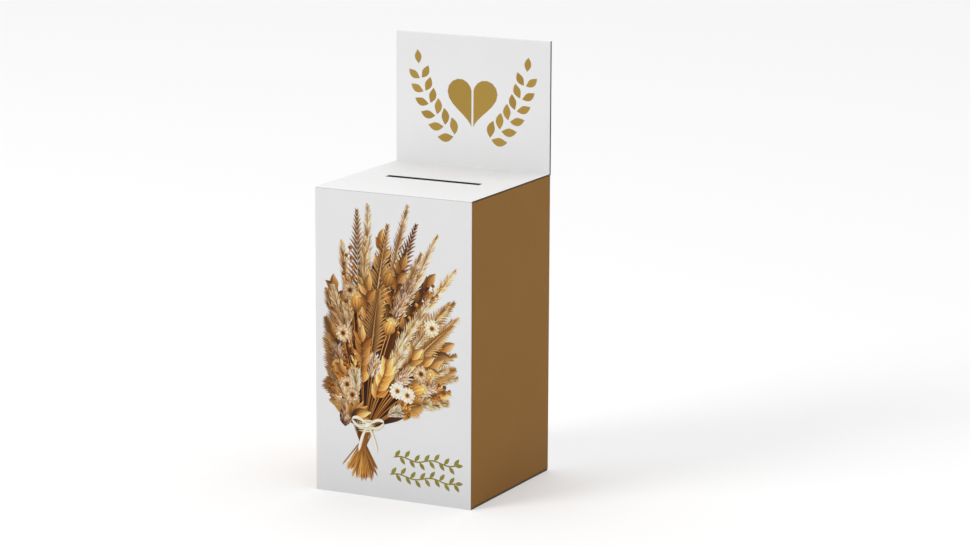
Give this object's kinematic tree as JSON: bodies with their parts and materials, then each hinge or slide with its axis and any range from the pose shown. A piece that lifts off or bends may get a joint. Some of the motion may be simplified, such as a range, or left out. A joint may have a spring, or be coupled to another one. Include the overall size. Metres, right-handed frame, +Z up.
{
  "type": "donation box",
  "caption": "Tall square carton of corrugated board with a slotted tuck-in lid, a folded double header above the rear edge and a tuck-in bottom.",
  "frame": {"origin": "middle of the base, on the surface that the box stands on", "axes": "+Z up, -Y out of the front wall, +X to the right as seen from the front"},
  "size_m": [0.25, 0.25, 0.635],
  "materials": {
    "white_board": "white printed liner, satin matt",
    "brown_board": "golden brown printed liner, satin matt",
    "kraft_board": "bare kraft liner, matt",
    "tape": "double-sided tape"
  },
  "bodies": {
    "carton": {"front_wall": "white_board", "right_wall": "brown_board", "left_wall": "brown_board", "back_panel": "white_board", "glue_flap": "kraft_board", "header_spine": "white_board", "header_front_leaf": "white_board", "header_tape": "tape"},
    "lid": {"lid": "white_board"},
    "lid_tuck": {"lid_tuck_flap": "white_board"},
    "dust_right": {"right_dust_flap": "brown_board"},
    "dust_left": {"left_dust_flap": "brown_board"},
    "bottom": {"bottom_panel": "white_board"},
    "bottom_tuck": {"bottom_tuck_flap": "white_board"},
    "bottom_dust_right": {"bottom_right_dust_flap": "brown_board"},
    "bottom_dust_left": {"bottom_left_dust_flap": "brown_board"}
  },
  "joints": [
    {"name": "lid_crease", "type": "hinge", "parent": "carton", "child": "lid", "pos_m": [0, 0.1207, 0.442], "axis": [-1, 0, 0], "range_deg": [0, 88]},
    {"name": "lid_tuck_crease", "type": "hinge", "parent": "lid", "child": "lid_tuck", "pos_m": [0, -0.1227, 0.44], "axis": [-1, 0, 0], "range_deg": [0, 30.8]},
    {"name": "dust_right_crease", "type": "hinge", "parent": "carton", "child": "dust_right", "pos_m": [0.125, 0, 0.4378], "axis": [0, 1, 0], "range_deg": [0, 79.2]},
    {"name": "dust_left_crease", "type": "hinge", "parent": "carton", "child": "dust_left", "pos_m": [-0.125, 0, 0.4378], "axis": [0, -1, 0], "range_deg": [0, 79.2]},
    {"name": "bottom_crease", "type": "hinge", "parent": "carton", "child": "bottom", "pos_m": [0, 0.125, 0.002], "axis": [1, 0, 0], "range_deg": [0, 88]},
    {"name": "bottom_tuck_crease", "type": "hinge", "parent": "bottom", "child": "bottom_tuck", "pos_m": [0, -0.1227, 0.002], "axis": [1, 0, 0], "range_deg": [0, 30.8]},
    {"name": "bottom_dust_right_crease", "type": "hinge", "parent": "carton", "child": "bottom_dust_right", "pos_m": [0.125, 0, 0.0042], "axis": [0, -1, 0], "range_deg": [0, 79.2]},
    {"name": "bottom_dust_left_crease", "type": "hinge", "parent": "carton", "child": "bottom_dust_left", "pos_m": [-0.125, 0, 0.0042], "axis": [0, 1, 0], "range_deg": [0, 79.2]}
  ],
  "couplings": [
    {"joint": "lid_tuck_crease", "follows": "lid_crease", "ratio": 0.35},
    {"joint": "dust_right_crease", "follows": "lid_crease", "ratio": 0.9},
    {"joint": "dust_left_crease", "follows": "lid_crease", "ratio": 0.9},
    {"joint": "bottom_tuck_crease", "follows": "bottom_crease", "ratio": 0.35},
    {"joint": "bottom_dust_right_crease", "follows": "bottom_crease", "ratio": 0.9},
    {"joint": "bottom_dust_left_crease", "follows": "bottom_crease", "ratio": 0.9}
  ]
}
